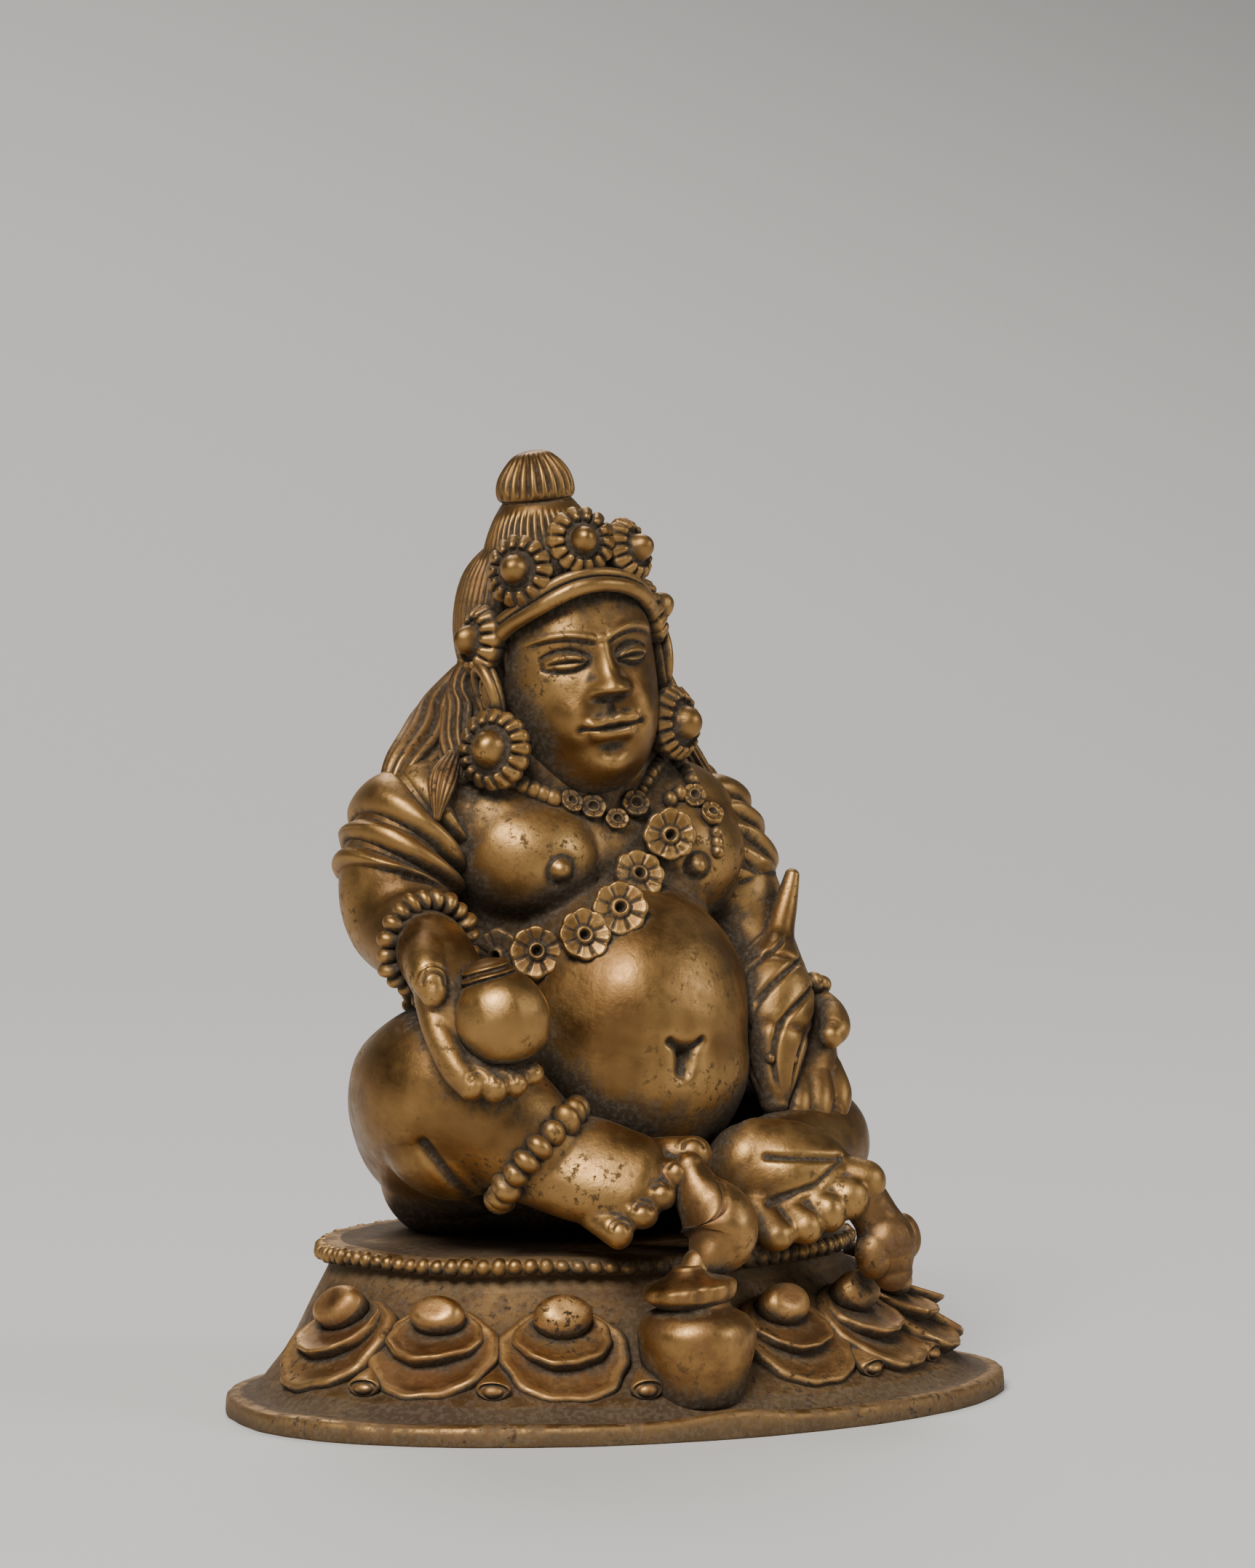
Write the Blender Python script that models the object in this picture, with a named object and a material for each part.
# Seated jambhala on a lotus base, one small lost-wax brass casting.
# Sizes are in millimetres and MM turns them into the scene's metres.
# Frame: +Z up, the underside of the base on Z = 0, the figure faces -Y.
import math

import bmesh
import bpy
import numpy as np
from mathutils import Matrix, Vector

MM = 0.001

# Overall sizes
FLANGE_HALF_X = 39.0
FLANGE_FRONT = 25.8
FLANGE_BACK = 29.6
FLANGE_THICK = 1.9
SEAT_HALF_X = 26.3
SEAT_HALF_Y = 20.0
SEAT_BACK_Y = 8.2
SEAT_Z = 14.2
SHIFT_Y = (FLANGE_FRONT - FLANGE_BACK) / 2.0

# The figure's own height above the seat's rim; all of the figure is set out in shares of it
FIGURE_HEIGHT = 76.2
SHARE = FIGURE_HEIGHT / 76.2
FIGURE_DROP = 14.2

# Lotus petals round the front, angles from +X through the front
PETALS = ((169.0, 1.1), (142.5, 1.0), (117.0, 1.0), (72.0, 1.1), (50.0, 1.25), (30.0, 1.5), (12.0, 1.6),
          (-5.0, 1.5))
PETAL_LEVEL = 0.6
PETAL_TIERS = ((6.0, 9.4, 2.4), (4.4, 5.8, 3.1))
PETAL_BOSS = 2.3

# Body
CHEST = (-0.6, 9.8, 51.0)
CHEST_RADII = (16.0, 9.8, 11.0)
BELLY = (0.2, 3.6, 36.6)
BELLY_RADII = (12.6, 15.4, 13.2)
LAP = (0.2, 2.5, 32.6)
LAP_RADII = (12.4, 14.1, 11.8)
PELVIS = (0.0, 13.0, 24.5)
PELVIS_RADII = (16.5, 11.5, 11.0)
BREAST_R = (-8.2, 4.4, 51.4)
BREAST_L = (7.4, 4.8, 51.4)
BREAST_RADII = (7.1, 6.5, 6.3)
NIPPLE = 1.0

# Toes, each from its root to its tip with the tip's radius
RIGHT_TOES = (((-4.0, -11.0, 24.6), (0.0, -13.6, 24.5, 1.75)),
              ((-5.2, -12.0, 23.4), (-2.6, -15.2, 23.0, 1.45)),
              ((-6.8, -12.4, 21.8), (-4.4, -15.7, 21.3, 1.4)),
              ((-8.2, -12.4, 20.4), (-6.3, -15.8, 19.5, 1.4)),
              ((-9.8, -11.8, 19.4), (-8.4, -15.3, 17.8, 1.35)))
LEFT_TOES = (((14.4, -12.4, 22.4), (17.5, -14.5, 21.2, 2.1)), ((12.8, -12.8, 21.0), (15.5, -15.4, 19.9, 1.9)),
             ((11.2, -13.0, 20.0), (13.2, -15.6, 18.8, 1.85)), ((9.4, -13.0, 19.6), (10.5, -15.6, 17.6, 1.8)),
             ((7.2, -12.8, 19.4), (7.7, -15.3, 16.9, 1.7)))

# Head, turned and tilted towards the raised knee
HEAD = (-2.9, 5.2, 69.3)
HEAD_YAW = math.radians(-6.0)
HEAD_TILT = math.radians(-8.0)
SKULL_RADII = (8.9, 10.4, 10.4)
FACE_RADII = (7.4, 8.4, 10.6)
ROSETTE_R = 3.3
EARRING_R = 3.6

# Garland flowers on the front, seen from the front
GARLAND = ((4.2, 53.3), (0.3, 48.9), (-3.5, 46.3), (-6.8, 44.2), (-10.0, 42.5))
GARLAND_R = 2.6

# Vase standing on the flange, in front of the lotus
VASE_X = -2.5
VASE_INSET = 6.4
VASE_R = 5.5
LID_R = 4.1
LID_Z = 14.2

# Finish of the solid
VOXEL = 0.42
FACE_COUNT = 9300


def clear_scene():
    for item in list(bpy.data.objects):
        bpy.data.objects.remove(item, do_unlink=True)


def unit(v):
    v = Vector(v)
    return v.normalized()


def frame_to(direction, up=(0.0, 0.0, 1.0)):
    """Rotation that takes +Z to the direction, with +Y kept as near as can be to up."""
    z = unit(direction)
    y = Vector(up) - z * z.dot(Vector(up))
    if y.length < 1e-4:
        y = Vector((0.0, 1.0, 0.0)) - z * z.y
    y.normalize()
    x = y.cross(z)
    return Matrix((x, y, z)).transposed().to_4x4()


def ball(bm, centre, radii, turn=None, steps=20):
    """Ellipsoid with its own turn about its centre."""
    turn = turn if turn is not None else Matrix.Identity(4)
    size = Matrix.Diagonal((radii[0], radii[1], radii[2], 1.0))
    place = Matrix.Translation(Vector(centre)) @ turn @ size
    around = [2 * math.pi * k / steps for k in range(steps)]
    loops = []
    for i in range(steps // 2 + 1):
        lift = math.pi * (i + 0.35) / (steps // 2 + 0.7)
        flat = math.sin(lift)
        loops.append([place @ Vector((flat * math.cos(t), flat * math.sin(t), -math.cos(lift)))
                      for t in around])
    rings(bm, loops)


def rings(bm, loops):
    """Closed skin over a row of equal point loops, both ends capped."""
    rows = [[bm.verts.new(Vector(p)) for p in loop] for loop in loops]
    n = len(rows[0])
    for a, b in zip(rows[:-1], rows[1:]):
        for i in range(n):
            j = (i + 1) % n
            bm.faces.new((a[i], a[j], b[j], b[i]))
    bm.faces.new(list(reversed(rows[0])))
    bm.faces.new(rows[-1])


def smooth_path(points, steps):
    """Points on a rounded path through the given points, each with its radius as fourth value."""
    pts = np.array(points, float)
    pts = np.vstack([2 * pts[0] - pts[1], pts, 2 * pts[-1] - pts[-2]])
    out = []
    for k in range(1, len(pts) - 2):
        p0, p1, p2, p3 = pts[k - 1:k + 3]
        for t in np.linspace(0.0, 1.0, steps, endpoint=False):
            a = 2 * p1 + (p2 - p0) * t
            b = (2 * p0 - 5 * p1 + 4 * p2 - p3) * t ** 2
            c = (3 * p1 - p0 - 3 * p2 + p3) * t ** 3
            out.append(0.5 * (a + b + c))
    out.append(pts[-2])
    return np.array(out)


def limb(bm, points, flat=1.0, across=(0.0, 0.0, 1.0), steps=7, sides=18, round_ends=True):
    """Round tube along the points (x, y, z, radius), flattened along one way if asked."""
    path = smooth_path(points, steps)
    loops = []
    for i, p in enumerate(path):
        a = path[max(i - 1, 0)][:3]
        b = path[min(i + 1, len(path) - 1)][:3]
        turn = frame_to(Vector(b - a), across)
        place = Matrix.Translation(Vector(p[:3])) @ turn
        loop = []
        for k in range(sides):
            t = 2 * math.pi * k / sides
            loop.append(place @ Vector((math.cos(t) * p[3], math.sin(t) * p[3] * flat, 0.0)))
        loops.append(loop)
    rings(bm, loops)
    if round_ends:
        for end, near in ((path[0], path[1]), (path[-1], path[-2])):
            turn = frame_to(Vector(end[:3] - near[:3]), across)
            ball(bm, end[:3], (end[3], end[3] * flat, end[3] * min(1.0, flat + 0.2)), turn, 16)


def head_point(x, y, z):
    """Point of the head's own frame, x across, y back and z up from the middle of the face."""
    return HEAD_PLACE @ Vector((x, y, z))


def head_way(x, y, z):
    return (HEAD_TURN @ Vector((x, y, z))).normalized()


def rosette(bm, centre, way, radius, boss, petals=12, up=(0.0, 0.0, 1.0), thick=0.9):
    """Round flower, a scalloped disc with a boss in its middle."""
    place = Matrix.Translation(Vector(centre)) @ frame_to(way, up)
    loops = []
    for z, grow in ((-2.8, 0.8), (0.0, 1.0), (thick * 0.55, 0.98), (thick, 0.62)):
        loop = []
        for k in range(petals * 4):
            t = 2 * math.pi * k / (petals * 4)
            r = radius * grow * (1.0 - 0.07 * (0.5 - 0.5 * math.cos(petals * t)))
            loop.append(place @ Vector((r * math.cos(t), r * math.sin(t), z)))
        loops.append(loop)
    rings(bm, loops)
    ball(bm, place @ Vector((0.0, 0.0, thick)), boss, frame_to(way, up), 12)


def bead_ring(bm, centre, way, radii, count, bead, start=0.0, up=(0.0, 0.0, 1.0)):
    """Ring of beads round an oval whose plane faces the way."""
    place = Matrix.Translation(Vector(centre)) @ frame_to(way, up)
    for k in range(count):
        t = 2 * math.pi * (k + start) / count
        spot = place @ Vector((math.cos(t) * radii[0], math.sin(t) * radii[1], 0.0))
        ball(bm, spot, (bead, bead, bead), None, 8)


def base_point(angle, level, out=0.0):
    """Point on the sloping side of the base, level 0 at the flange and 1 under the seat's rim."""
    c = math.cos(angle)
    s = math.sin(angle)
    spread = (1.0 - level) ** 1.4
    half_x = SEAT_HALF_X - 1.3 + (FLANGE_HALF_X - 3.2 - SEAT_HALF_X + 1.3) * spread + out
    mid_y = SEAT_BACK_Y * (1.0 - spread)
    if s >= 0:
        half_y = SEAT_HALF_Y - 1.3 + (FLANGE_FRONT - 2.4 - SEAT_HALF_Y + 1.3) * spread + out
        y = mid_y - s * half_y
    else:
        half_y = SEAT_HALF_Y - 0.6 + (FLANGE_BACK - 1.4 - SEAT_HALF_Y + 0.6) * spread
        y = mid_y + abs(s) ** 0.94 * half_y
    return Vector((c * half_x, y, FLANGE_THICK + (SEAT_Z - FLANGE_THICK) * level))


def add_base(bm):
    n = 96
    turn = [2 * math.pi * k / n for k in range(n)]
    loops = []
    for z, grow in ((-1.5, 1.0), (FLANGE_THICK * 0.75, 1.0), (FLANGE_THICK, 0.985)):
        loop = []
        for a in turn:
            s = math.sin(a)
            y = -s * FLANGE_FRONT if s >= 0 else abs(s) ** 0.94 * FLANGE_BACK
            loop.append((math.cos(a) * FLANGE_HALF_X * grow, y * grow, z))
        loops.append(loop)
    for i in range(8):
        level = i / 7.0
        loops.append([base_point(a, level) for a in turn])
    loops = [loop[::-1] for loop in loops]
    rings(bm, loops)
    seat = []
    for z, grow in ((SEAT_Z - 0.9, -0.9), (SEAT_Z - 0.5, 0.3), (SEAT_Z + 0.5, 0.3), (SEAT_Z + 0.95, -0.5)):
        loop = []
        for a in reversed(turn):
            x = math.cos(a) * (SEAT_HALF_X + grow)
            y = SEAT_BACK_Y - math.sin(a) * (SEAT_HALF_Y + grow)
            loop.append((x, y, z))
        seat.append(loop)
    rings(bm, seat)


def plate(bm, centre, way, up, half_w, half_h, lift, sides=28):
    """Oval plate standing off the surface by its lift, its edge a little rounded."""
    place = Matrix.Translation(Vector(centre)) @ frame_to(way, up)
    loops = []
    for z, grow in ((-2.5, 0.9), (lift - 0.55, 1.0), (lift - 0.15, 0.99), (lift, 0.9)):
        loops.append([place @ Vector((half_w * grow * math.cos(2 * math.pi * k / sides),
                                      half_h * grow * math.sin(2 * math.pi * k / sides),
                                      z)) for k in range(sides)])
    rings(bm, loops)


def add_petals(bm):
    for degrees, stand in PETALS:
        a = math.radians(degrees)
        low = base_point(a, 0.2)
        high = base_point(a, 0.75)
        side = base_point(a + 0.03, 0.5) - base_point(a - 0.03, 0.5)
        up = (high - low).normalized()
        way = side.cross(up)
        if way.z < 0:
            way = -way
        way = (way.normalized() - up * 0.22).normalized()
        top = base_point(a, PETAL_LEVEL)
        for half_w, drop, lift in PETAL_TIERS:
            spot = top - up * (drop * 0.5 - 0.9)
            plate(bm, spot, way, up, half_w, drop * 0.5 + 0.9, lift * stand)
        ball(bm, top + way * 3.3 * stand, (PETAL_BOSS * 1.15, PETAL_BOSS * 0.95, 1.3), frame_to(way, up), 16)
    angles = sorted(p[0] for p in PETALS)
    for a0, a1 in zip(angles[:-1], angles[1:]):
        a = math.radians((a0 + a1) / 2.0)
        if abs(a1 - a0) < 30.0:
            ball(bm, base_point(a, 0.1), (1.5, 1.2, 1.7), None, 8)


def torso_masses():
    """Middles and radii of the rounded masses that make up the torso."""
    return ((CHEST, CHEST_RADII), (BELLY, BELLY_RADII), (PELVIS, PELVIS_RADII),
            ((-0.4, 9.5, 43.0), (13.5, 10.5, 10.0)), ((-0.6, 12.0, 37.0), (15.4, 9.4, 9.0)),
            ((-1.8, 8.0, 60.0), (9.5, 7.5, 5.0)), ((-8.0, 6.6, 54.0), (8.2, 6.2, 6.6)),
            ((6.6, 6.8, 54.0), (8.2, 6.2, 6.6)), ((-10.5, 15.0, 20.5), (7.5, 8.0, 6.6)),
            ((10.0, 15.0, 20.5), (7.5, 8.0, 6.6)), (LAP, LAP_RADII), (BREAST_R, BREAST_RADII),
            (BREAST_L, BREAST_RADII))


def on_front(x, z, out=0.0):
    """Foremost point of the torso at a place seen from the front, moved out by a distance."""
    y = 12.0
    for middle, radii in torso_masses():
        rest = 1.0 - ((x - middle[0]) / radii[0]) ** 2 - ((z - middle[2]) / radii[2]) ** 2
        if rest > 0.0:
            y = min(y, middle[1] - radii[1] * math.sqrt(rest))
    return Vector((x, y - out, z))


def add_body(bm):
    for middle, radii in torso_masses():
        ball(bm, middle, radii, None, 26)
    for spot, sign in ((BREAST_R, -1.0), (BREAST_L, 1.0)):
        tip = Vector(spot) + Vector((0.8 * sign * -0.6, -BREAST_RADII[1] * 0.99, -1.2))
        ball(bm, tip, (NIPPLE, NIPPLE, NIPPLE), None, 8)
    limb(bm, ((-1.8, 7.5, 57.0, 6.0), (-2.6, 6.0, 65.0, 5.2)))


def add_right_arm(bm):
    limb(bm, ((-12.0, 10.0, 57.5, 5.0), (-17.6, 8.8, 54.9, 5.4), (-20.3, 7.6, 49.9, 5.3),
              (-20.8, 6.2, 45.8, 4.9), (-21.0, 1.6, 44.0, 4.3), (-21.0, -3.0, 43.2, 3.3)))
    for k in range(3):
        fold_ring(bm, (-19.6 - 0.35 * k, 8.0 - 0.35 * k, 52.8 - 2.1 * k), (0.66, 0.1, 1.0), 5.85 - 0.1 * k,
                  0.95)
    bead_ring(bm, (-21.2, -1.4, 43.9), (0.06, -1.0, -0.12), (4.0, 4.0), 14, 1.2)
    limb(bm, ((-21.0, -0.6, 44.0, 4.2), (-21.2, -3.4, 42.6, 4.2), (-21.2, -6.0, 40.8, 3.9),
              (-20.6, -7.6, 37.8, 3.7), (-19.8, -8.2, 35.0, 3.5)), flat=0.8, across=(0.4, -0.9, 0.3))
    ball(bm, (-19.2, -11.2, 37.8), (4.2, 4.2, 4.3), None, 18)
    ball(bm, (-19.8, -10.6, 41.6), (2.5, 2.4, 1.3), None, 12)
    limb(bm, ((-22.8, -3.4, 43.6, 2.1), (-24.0, -5.8, 42.4, 1.95), (-24.4, -7.6, 40.8, 1.75),
              (-24.2, -8.6, 39.4, 1.4)))
    limb(bm, ((-23.0, -6.6, 39.6, 1.8), (-23.4, -8.8, 36.4, 1.65), (-22.9, -10.6, 33.4, 1.5),
              (-21.9, -11.8, 31.6, 1.25)))
    for x, y, z in ((-19.8, -12.4, 31.4), (-17.8, -12.6, 31.7), (-16.0, -12.3, 32.6)):
        limb(bm, ((x - 1.2, y + 4.0, z + 3.6, 1.7), (x - 1.0, y + 1.8, z + 1.3, 1.55), (x, y, z, 1.25)))


def fold_ring(bm, centre, way, radius, thick):
    """Raised fold of the sleeve, a slanting ring round the arm."""
    place = Matrix.Translation(Vector(centre)) @ frame_to(way, (0.0, -1.0, 0.0))
    loops = []
    for k in range(28):
        t = 2 * math.pi * k / 28
        mid = Vector((math.cos(t) * radius, math.sin(t) * radius, 0.0))
        out = mid.normalized()
        loop = []
        for j in range(8):
            u = 2 * math.pi * j / 8
            loop.append(place @ (mid + out * math.cos(u) * thick + Vector((0.0, 0.0, math.sin(u) * thick))))
        loops.append(loop)
    rows = [[bm.verts.new(p) for p in loop] for loop in loops]
    for k in range(28):
        a = rows[k]
        b = rows[(k + 1) % 28]
        for j in range(8):
            m = (j + 1) % 8
            bm.faces.new((a[j], a[m], b[m], b[j]))


def add_left_arm(bm):
    limb(bm, ((7.0, 10.5, 56.5, 5.0), (11.6, 9.4, 54.2, 5.4), (14.0, 7.6, 49.2, 5.2), (15.2, 5.4, 44.6, 4.4),
              (16.6, 2.2, 39.8, 3.5), (17.8, -0.4, 36.4, 2.9)))
    for k in range(4):
        fold_ring(bm, (12.6 + 0.55 * k, 8.4 - 0.6 * k, 54.6 - 2.1 * k), (0.62, -0.15, 1.0), 5.75 - 0.15 * k,
                  0.95)
    limb(bm, ((17.6, -0.6, 37.4, 2.9), (18.1, -2.0, 34.2, 3.2), (17.8, -3.4, 30.6, 2.9)), flat=0.7,
         across=(0.3, -0.9, 0.2))
    bead_ring(bm, (17.4, -0.2, 38.0), (0.1, -0.4, -1.0), (3.2, 3.2), 12, 1.0)
    limb(bm, ((19.2, -1.6, 37.4, 1.5), (19.3, -3.6, 36.6, 1.45), (18.6, -5.6, 35.6, 1.3)))
    for x, z in ((14.6, 26.6), (16.7, 26.0), (18.9, 26.6)):
        limb(bm, ((x + 0.8, -2.9, z + 4.8, 1.5), (x + 0.2, -4.9, z + 2.2, 1.4), (x, -5.4, z, 1.25)))


def add_mongoose(bm):
    limb(bm, ((18.3, 1.0, 49.2, 0.8), (17.5, 0.8, 46.3, 1.1), (16.5, 0.2, 43.6, 1.6), (15.4, -0.8, 41.2, 3.1),
              (14.3, -2.6, 38.2, 4.0), (13.5, -4.2, 34.6, 3.5), (12.9, -5.4, 31.0, 2.5),
              (12.5, -6.2, 28.2, 1.4)))
    ball(bm, (11.6, -5.0, 36.5), (1.3, 1.3, 2.0), None, 10)
    ball(bm, (15.4, -5.2, 36.4), (1.1, 1.3, 2.0), None, 10)


def add_right_leg(bm):
    limb(bm, ((-8.5, 15.0, 24.5, 8.8), (-14.5, 8.0, 27.0, 9.2), (-19.2, 1.0, 30.2, 8.0),
              (-18.4, -2.6, 30.0, 6.9),
              (-15.0, -5.0, 27.2, 5.9), (-12.2, -6.6, 24.8, 5.0)), steps=8, sides=24)
    bead_ring(bm, (-12.4, -6.4, 24.5), (0.62, -0.45, -0.65), (5.5, 5.5), 19, 1.25)
    limb(bm, ((-12.2, -6.6, 24.6, 5.0), (-9.2, -10.0, 23.4, 5.2), (-5.9, -12.4, 22.2, 4.9)), flat=0.62,
         across=(-0.42, -0.68, 0.51), steps=7)
    for low, tip in RIGHT_TOES:
        add_toe(bm, low, tip)


def add_left_leg(bm):
    limb(bm, ((8.5, 15.0, 23.5, 8.6), (14.5, 8.5, 23.6, 7.8), (19.6, 0.4, 23.8, 5.7), (16.4, -4.6, 22.8, 5.2),
              (11.6, -8.0, 22.6, 4.6), (8.2, -9.2, 22.6, 4.1)), steps=8, sides=24)
    limb(bm, ((8.0, -10.6, 23.2, 4.3), (10.6, -12.0, 22.5, 4.8), (13.2, -12.7, 21.5, 4.7)), flat=0.58,
         across=(-0.12, -0.9, 0.35), steps=7)
    for low, tip in LEFT_TOES:
        add_toe(bm, low, tip)


def add_toe(bm, low, tip):
    """One toe, swelling from its root to a round tip."""
    x, y, z, r = tip
    limb(bm, (low + (r * 0.85,), (0.4 * low[0] + 0.6 * x, 0.4 * low[1] + 0.6 * y, 0.4 * low[2] + 0.6 * z,
                                  r * 0.92),
              (x, y, z, r)), sides=14)


def add_head(bm):
    ball(bm, head_point(-0.5, 3.0, 3.4), SKULL_RADII, HEAD_TURN, 28)
    ball(bm, head_point(0.0, -0.6, -1.6), FACE_RADII, HEAD_TURN, 28)
    for sign in (-1.0, 1.0):
        ball(bm, head_point(3.4 * sign, -4.4, -4.6), (3.8, 4.0, 3.9), HEAD_TURN, 18)
        ball(bm, head_point(3.3 * sign, -8.3, 2.7), (2.7, 0.9, 0.7), HEAD_TURN, 10)
        ball(bm, head_point(3.3 * sign, -7.5, 0.3), (1.9, 1.2, 0.95), HEAD_TURN, 12)
        ball(bm, head_point(1.0 * sign, -9.2, -2.3), (0.95, 0.95, 0.8), HEAD_TURN, 10)
        ball(bm, head_point(8.8 * sign, 0.6, -0.8), (1.2, 2.3, 3.9), HEAD_TURN, 14)
    limb(bm, (tuple(head_point(0.0, -8.2, 2.4)) + (0.85,), tuple(head_point(0.0, -9.2, -0.4)) + (1.0,),
              tuple(head_point(0.0, -10.0, -2.2)) + (1.15,)))
    ball(bm, head_point(0.0, -8.5, -5.2), (2.6, 1.1, 0.6), HEAD_TURN, 12)
    ball(bm, head_point(0.0, -8.2, -6.5), (2.2, 1.2, 0.7), HEAD_TURN, 12)
    ball(bm, head_point(0.0, -6.4, -9.6), (3.4, 2.8, 2.4), HEAD_TURN, 14)
    band = []
    for k in range(15):
        t = math.radians(-104.0 + 208.0 * k / 14.0)
        drop = 7.4 * (1.0 - math.cos(t)) / 1.24
        p = head_point(8.1 * math.sin(t) - 0.3, 0.2 - 8.9 * math.cos(t), 7.8 - drop)
        band.append(tuple(p) + (0.85,))
    limb(bm, band, steps=2, sides=10)
    for degrees, lift in ((-80.0, 4.0), (-42.0, 10.2), (1.0, 12.2), (42.0, 10.6), (80.0, 4.4)):
        t = math.radians(degrees)
        r = 9.2 if abs(degrees) > 60 else 8.6
        p = head_point(r * math.sin(t) - 0.5, 1.0 - r * math.cos(t), lift)
        rosette(bm, p, head_way(math.sin(t), -math.cos(t), 0.22), ROSETTE_R, (1.5, 1.5, 1.2))
    rosette(bm, (-13.6, 1.4, 61.8), (-0.84, -0.55, 0.1), EARRING_R, (1.5, 1.5, 1.4))
    rosette(bm, (6.6, 1.2, 64.0), (0.55, -0.84, 0.1), EARRING_R, (1.5, 1.5, 1.4))
    knot = Vector(head_point(-0.3, 3.2, 0.0))
    axis = head_way(-0.03, 0.02, 1.0)
    turn = frame_to(axis, (0.0, 1.0, 0.0))
    profile = ((8.0, 5.6), (10.5, 6.2), (11.8, 5.8), (14.4, 4.5), (15.8, 3.6), (16.0, 3.4), (16.4, 3.7),
               (17.8, 3.8),
               (19.0, 3.3), (20.0, 2.4), (20.9, 1.0))
    loops = []
    for z, r in profile:
        loops.append([knot + turn.to_3x3() @ Vector((r * math.cos(2 * math.pi * k / 24),
                                                     r * math.sin(2 * math.pi * k / 24),
                                                     z)) for k in range(24)])
    rings(bm, loops)
    add_hair(bm)


def add_hair(bm):
    ball(bm, (-3.2, 11.6, 67.0), (8.6, 5.6, 12.0), None, 24)
    ball(bm, (-2.6, 13.6, 60.0), (10.6, 6.0, 8.0), None, 24)
    limb(bm, ((-10.0, 10.2, 69.0, 2.6), (-11.8, 10.0, 65.0, 2.5), (-14.0, 7.6, 61.6, 2.2),
              (-15.0, 5.0, 59.4, 1.3)))
    limb(bm, ((-9.6, 13.0, 67.0, 3.0), (-13.4, 12.4, 63.4, 3.2), (-17.2, 9.6, 59.8, 3.1),
              (-20.0, 8.0, 56.6, 2.4)))
    limb(bm, ((-15.6, 5.2, 61.0, 0.8), (-17.4, 3.4, 58.6, 1.3), (-18.6, 2.4, 55.4, 0.6)))
    limb(bm, ((5.4, 10.0, 69.0, 2.2), (7.6, 9.8, 64.6, 2.2), (10.6, 8.6, 60.4, 1.9), (12.4, 7.4, 58.0, 1.4)))
    for k in range(6):
        x = -2.8 + 2.9 * (k - 2.5)
        long = 6.5 - 0.9 * abs(k - 2.5)
        limb(bm, ((x * 0.75 - 0.7, 16.0, 66.0, 1.9), (x * 0.95, 18.4, 60.0, 1.7), (x, 19.4, 60.0 - long, 1.4),
                  (x * 1.05, 19.8, 57.0 - long, 0.7)))


def add_ornaments(bm):
    for k in range(17):
        t = math.radians(-75.0 + 150.0 * k / 16.0)
        p = on_front(-0.9 + 9.4 * math.sin(t), 60.0 - 4.8 * math.cos(t), 0.15)
        ball(bm, p, (0.9, 0.9, 0.9), None, 8)
    for x, z in GARLAND:
        rosette(bm, on_front(x, z, 0.9), (0.05, -1.0, 0.18), GARLAND_R, (0.8, 0.8, 0.7), petals=8, thick=0.7)
    rosette(bm, (-13.2, 0.6, 42.4), (-0.8, -0.6, 0.1), 2.4, (0.8, 0.8, 0.7), petals=8, thick=0.7)
    back = ((-16.0, 10.6, 39.2, -85.0), (-15.0, 15.2, 38.4, -50.0), (-11.4, 18.6, 40.4, -25.0),
            (-7.2, 19.9, 42.6, -12.0), (-2.8, 20.0, 45.0, -3.0), (1.6, 19.8, 47.8, 3.0),
            (5.8, 19.0, 50.8, 12.0),
            (9.2, 17.0, 53.8, 25.0), (11.0, 14.0, 57.2, 40.0))
    for x, y, z, degrees in back:
        t = math.radians(degrees)
        rosette(bm, (x, y, z), (math.sin(t), math.cos(t), 0.05), 2.15, (0.8, 0.8, 0.7), petals=8, thick=0.7)


def figure_place():
    """Takes the figure, set out with its seat at FIGURE_DROP, onto the seat of the base in its own height."""
    foot = Vector((0.0, SEAT_BACK_Y, FIGURE_DROP))
    seat = Vector((0.0, SEAT_BACK_Y, SEAT_Z))
    return Matrix.Translation(seat) @ Matrix.Scale(SHARE, 4) @ Matrix.Translation(-foot)


def add_vase(bm):
    y = VASE_INSET - FLANGE_FRONT
    profile = ((0.2, 0.8), (1.0, 0.73), (1.7, 0.6), (2.1, 0.56), (2.5, 0.68), (3.0, 0.76), (4.5, 0.86),
               (6.5, 0.955), (8.4, 1.0), (9.6, 0.97), (10.5, 0.86), (11.0, 0.71), (11.5, 0.58), (12.3, 0.53))
    around = [2 * math.pi * k / 28 for k in range(28)]
    loops = [[(VASE_X + VASE_R * r * math.cos(t), y + VASE_R * r * math.sin(t), z) for t in around]
             for z, r in profile]
    rings(bm, loops)
    lid = ((LID_Z - 2.8, 0.68), (LID_Z - 2.0, 0.97), (LID_Z - 1.3, 1.0), (LID_Z - 0.7, 0.94), (LID_Z, 0.5))
    loops = [[(VASE_X - 0.8 + LID_R * r * math.cos(t), y + LID_R * r * math.sin(t), z) for t in around]
             for z, r in lid]
    rings(bm, loops)
    tip = figure_place() @ Vector((-1.6, -18.2, 15.6))
    limb(bm, ((VASE_X - 0.4, y + 0.4, LID_Z - 1.6, 1.8), tuple(tip) + (1.4,)))


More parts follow.
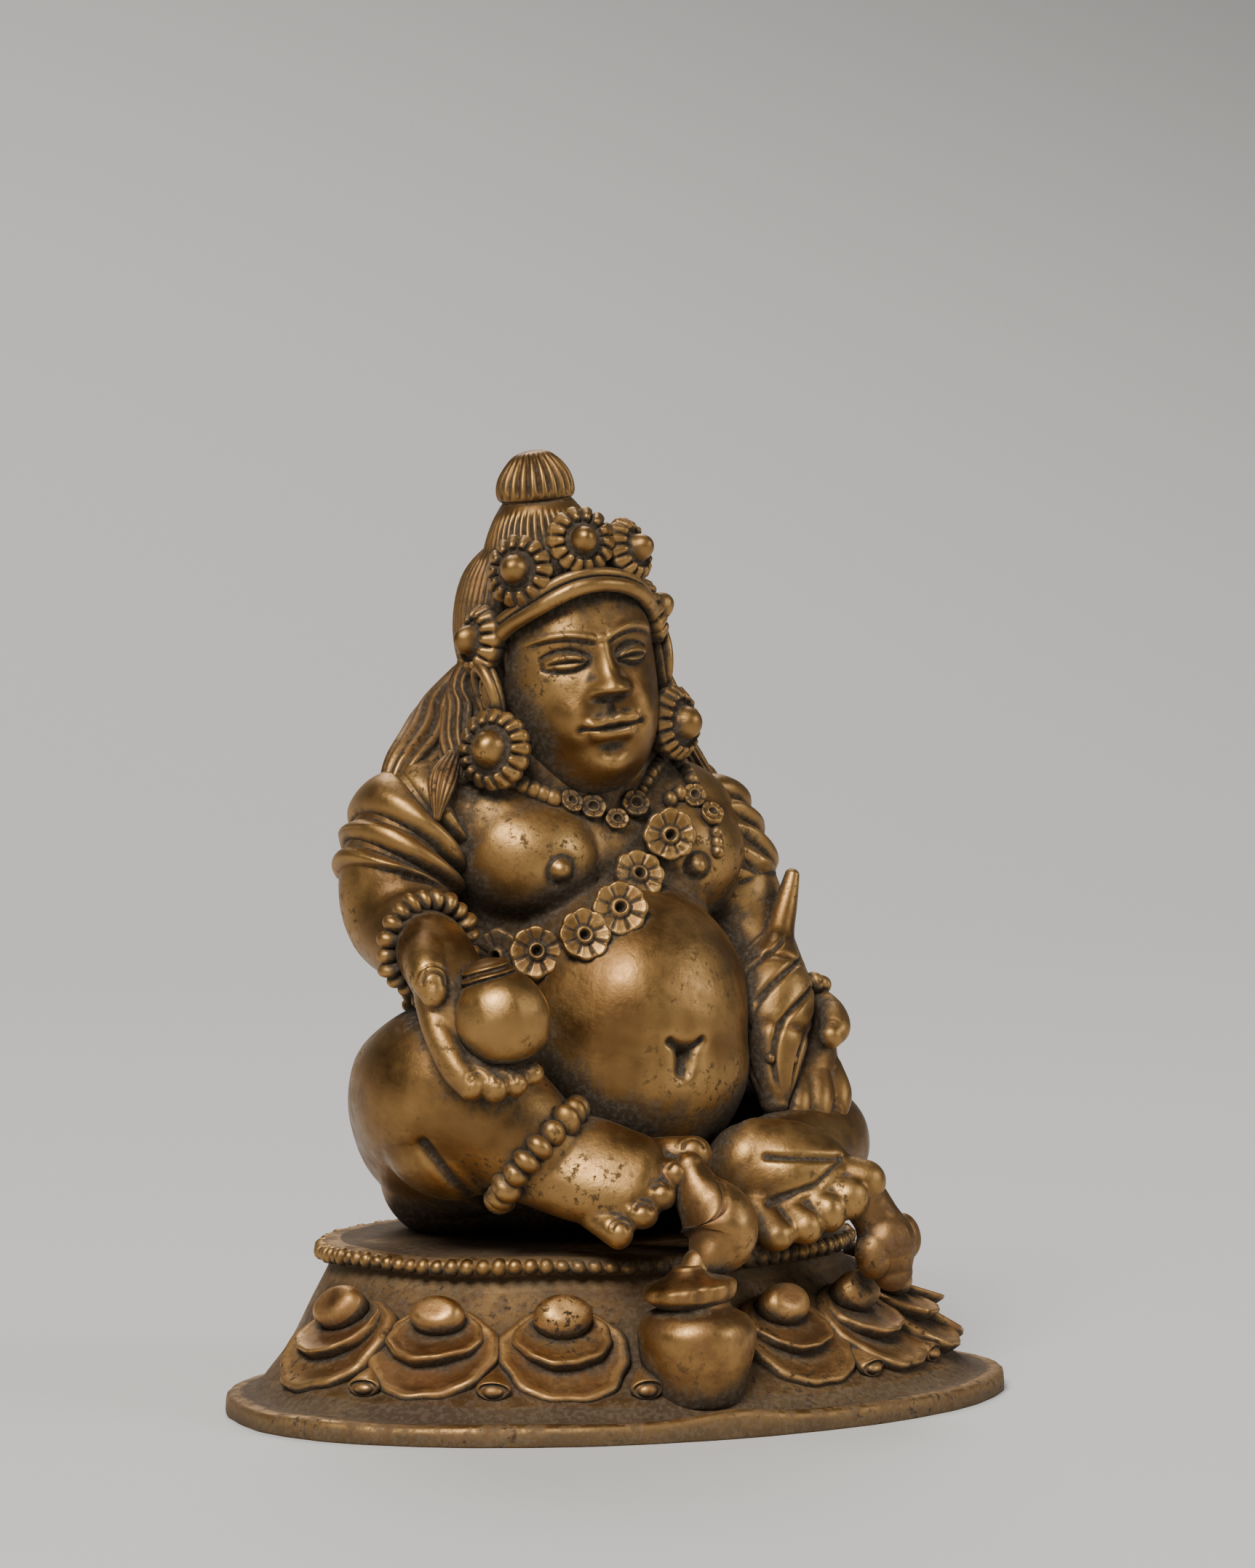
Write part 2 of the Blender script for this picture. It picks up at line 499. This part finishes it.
def add_conch_and_pod(bm):
    limb(bm, ((-1.9, -18.5, 14.4, 1.2), (-0.9, -18.4, 15.4, 2.1), (0.4, -17.9, 17.0, 3.3),
              (0.6, -17.3, 18.9, 3.6),
              (-0.7, -16.2, 21.4, 2.5), (-1.2, -15.4, 23.4, 1.6)))
    limb(bm, ((17.0, -14.0, 20.6, 2.2), (18.9, -14.3, 17.9, 2.2), (19.8, -14.8, 15.6, 2.7),
              (20.4, -15.2, 12.6, 1.8)))
    ball(bm, (21.6, -14.6, 15.8), (1.7, 1.7, 1.9), None, 12)
    ball(bm, (18.4, -15.4, 14.6), (1.9, 1.8, 2.3), None, 12)


def statue_material():
    mat = bpy.data.materials.new("worn_brass")
    mat.use_nodes = True
    shader = next(n for n in mat.node_tree.nodes if n.type == "BSDF_PRINCIPLED")
    shader.inputs["Base Color"].default_value = (0.235, 0.145, 0.058, 1.0)
    shader.inputs["Metallic"].default_value = 1.0
    shader.inputs["Roughness"].default_value = 0.42
    mat.diffuse_color = (0.36, 0.25, 0.12, 1.0)
    return mat


def build_statue():
    bm = bmesh.new()
    add_base(bm)
    add_petals(bm)
    add_vase(bm)
    base_count = len(bm.verts)
    add_body(bm)
    add_right_leg(bm)
    add_left_leg(bm)
    add_right_arm(bm)
    add_left_arm(bm)
    add_mongoose(bm)
    add_head(bm)
    add_ornaments(bm)
    add_conch_and_pod(bm)
    bm.verts.ensure_lookup_table()
    bmesh.ops.transform(bm, matrix=figure_place(), verts=bm.verts[base_count:])
    bmesh.ops.recalc_face_normals(bm, faces=bm.faces[:])
    shift = Matrix.Translation(Vector((0.0, SHIFT_Y * MM, 0.0))) @ Matrix.Scale(MM, 4)
    bmesh.ops.transform(bm, matrix=shift, verts=bm.verts[:])
    mesh = bpy.data.meshes.new("rough_cast")
    bm.to_mesh(mesh)
    bm.free()
    rough = bpy.data.objects.new("rough_cast", mesh)
    bpy.context.scene.collection.objects.link(rough)
    skin = rough.modifiers.new("one_skin", "REMESH")
    skin.mode = "VOXEL"
    skin.voxel_size = VOXEL * MM
    fair = rough.modifiers.new("soft_joins", "SMOOTH")
    fair.factor = 0.5
    fair.iterations = 2
    bpy.context.view_layer.update()
    fine = bpy.data.meshes.new_from_object(rough.evaluated_get(bpy.context.evaluated_depsgraph_get()))
    cast = bpy.data.objects.new("cast", fine)
    bpy.context.scene.collection.objects.link(cast)
    fine.calc_loop_triangles()
    cut = cast.modifiers.new("facets", "DECIMATE")
    cut.ratio = FACE_COUNT / len(fine.loop_triangles)
    bpy.context.view_layer.update()
    plain = bpy.data.meshes.new_from_object(cast.evaluated_get(bpy.context.evaluated_depsgraph_get()))
    bpy.data.objects.remove(rough, do_unlink=True)
    bpy.data.objects.remove(cast, do_unlink=True)
    return plain


def flat_underside(mesh):
    """Cuts the casting off level at Z = 0 and closes it with one flat face."""
    bm = bmesh.new()
    bm.from_mesh(mesh)
    everything = bm.verts[:] + bm.edges[:] + bm.faces[:]
    cut = bmesh.ops.bisect_plane(bm, geom=everything, dist=1e-6, plane_co=(0.0, 0.0, 0.0),
                                 plane_no=(0.0, 0.0, 1.0),
                                 clear_inner=True)
    rim = [e for e in cut["geom_cut"] if isinstance(e, bmesh.types.BMEdge)]
    bmesh.ops.contextual_create(bm, geom=rim)
    bmesh.ops.triangulate(bm, faces=bm.faces[:])
    bmesh.ops.recalc_face_normals(bm, faces=bm.faces[:])
    bm.to_mesh(mesh)
    bm.free()


HEAD_TURN = Matrix.Rotation(HEAD_YAW, 4, "Z") @ Matrix.Rotation(HEAD_TILT, 4, "Y")
HEAD_PLACE = Matrix.Translation(Vector(HEAD)) @ HEAD_TURN

clear_scene()
body_mesh = build_statue()
flat_underside(body_mesh)
body_mesh.name = "jambhala_statue"
statue = bpy.data.objects.new("jambhala_statue", body_mesh)
bpy.context.scene.collection.objects.link(statue)
body_mesh.materials.clear()
body_mesh.materials.append(statue_material())
for old in [m for m in bpy.data.meshes if m.users == 0]:
    bpy.data.meshes.remove(old)
